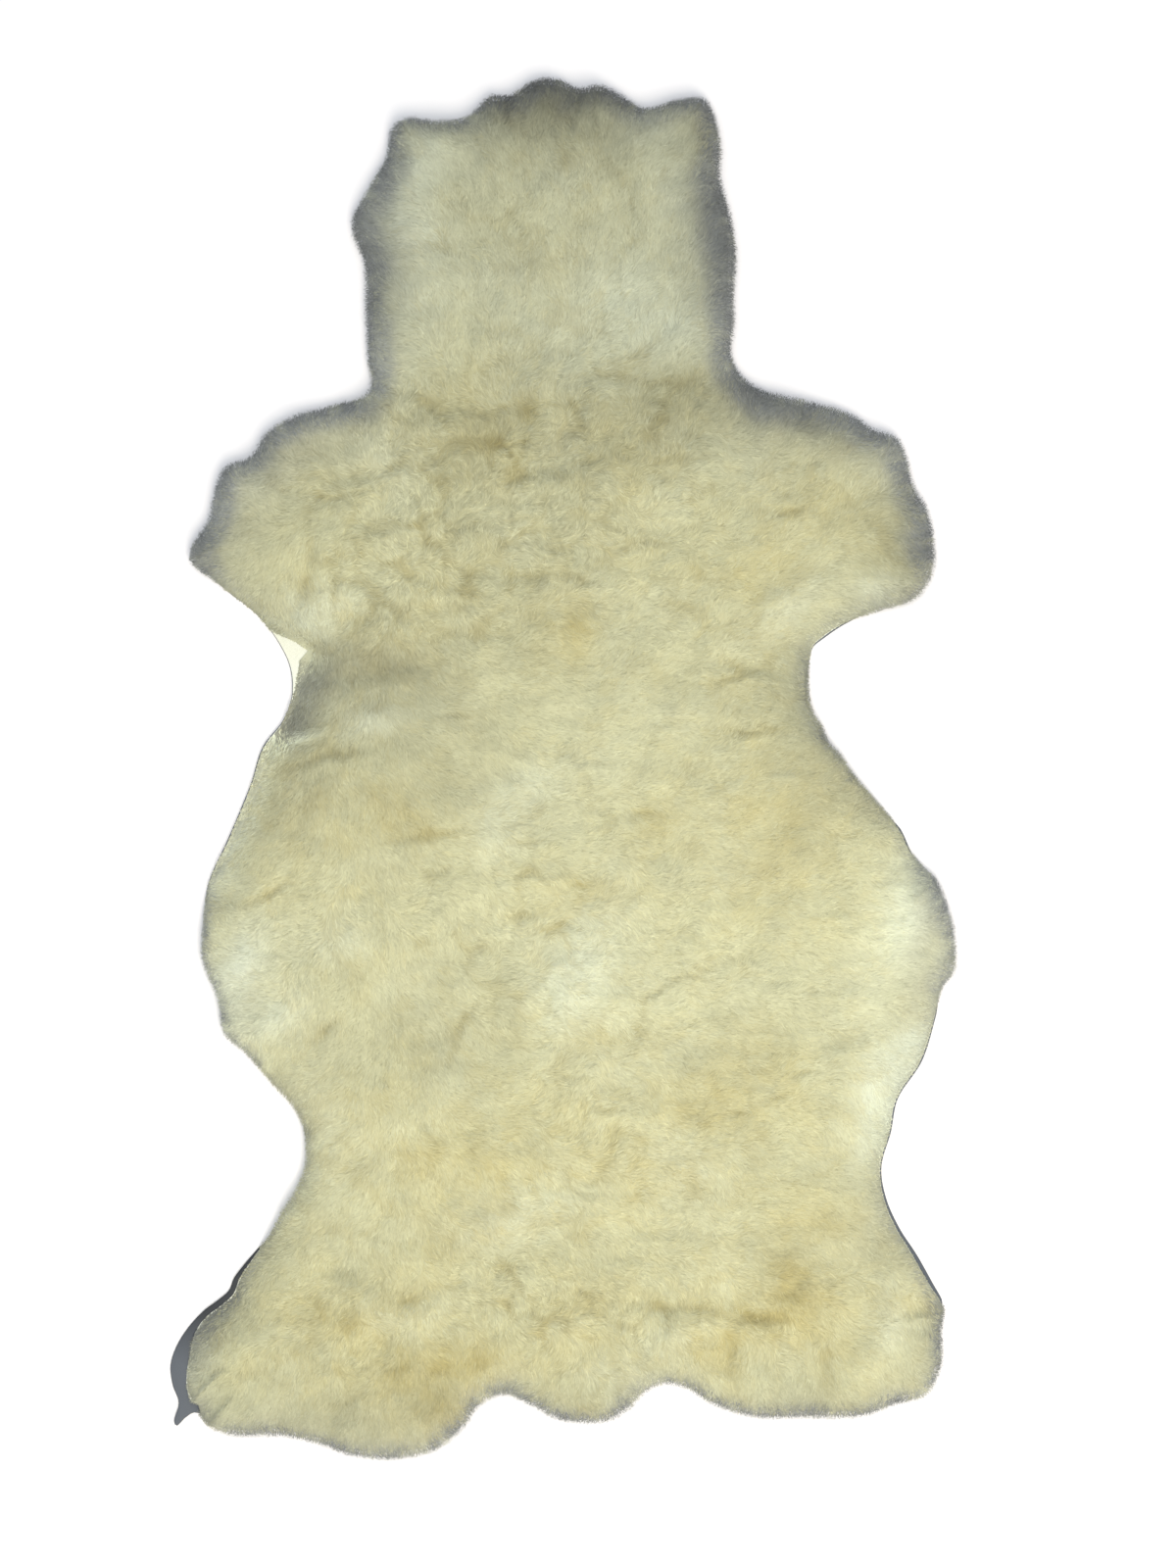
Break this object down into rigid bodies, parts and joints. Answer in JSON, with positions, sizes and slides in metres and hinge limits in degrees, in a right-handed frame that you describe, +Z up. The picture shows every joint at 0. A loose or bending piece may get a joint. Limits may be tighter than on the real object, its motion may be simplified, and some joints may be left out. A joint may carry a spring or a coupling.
{
  "type": "sheepskin rug",
  "caption": "Natural-shape sheepskin rug: tanned skin with dense cream wool, lying flat, with head, leg and tail outlines.",
  "frame": {"origin": "on the floor, under the middle of the pelt's bounding box", "axes": "+Z is up out of the wool, +Y runs to the head end, +X is to the right of the pelt as it is seen from above with the head away from the viewer"},
  "size_m": [0.6578, 1.15, 0.0331],
  "materials": {
    "wool": "soft matte dense wool pile, cream with warmer patches",
    "skin": "matte tanned leather with a sueded underside"
  },
  "bodies": {
    "root": {"pelt": "wool"}
  },
  "joints": []
}
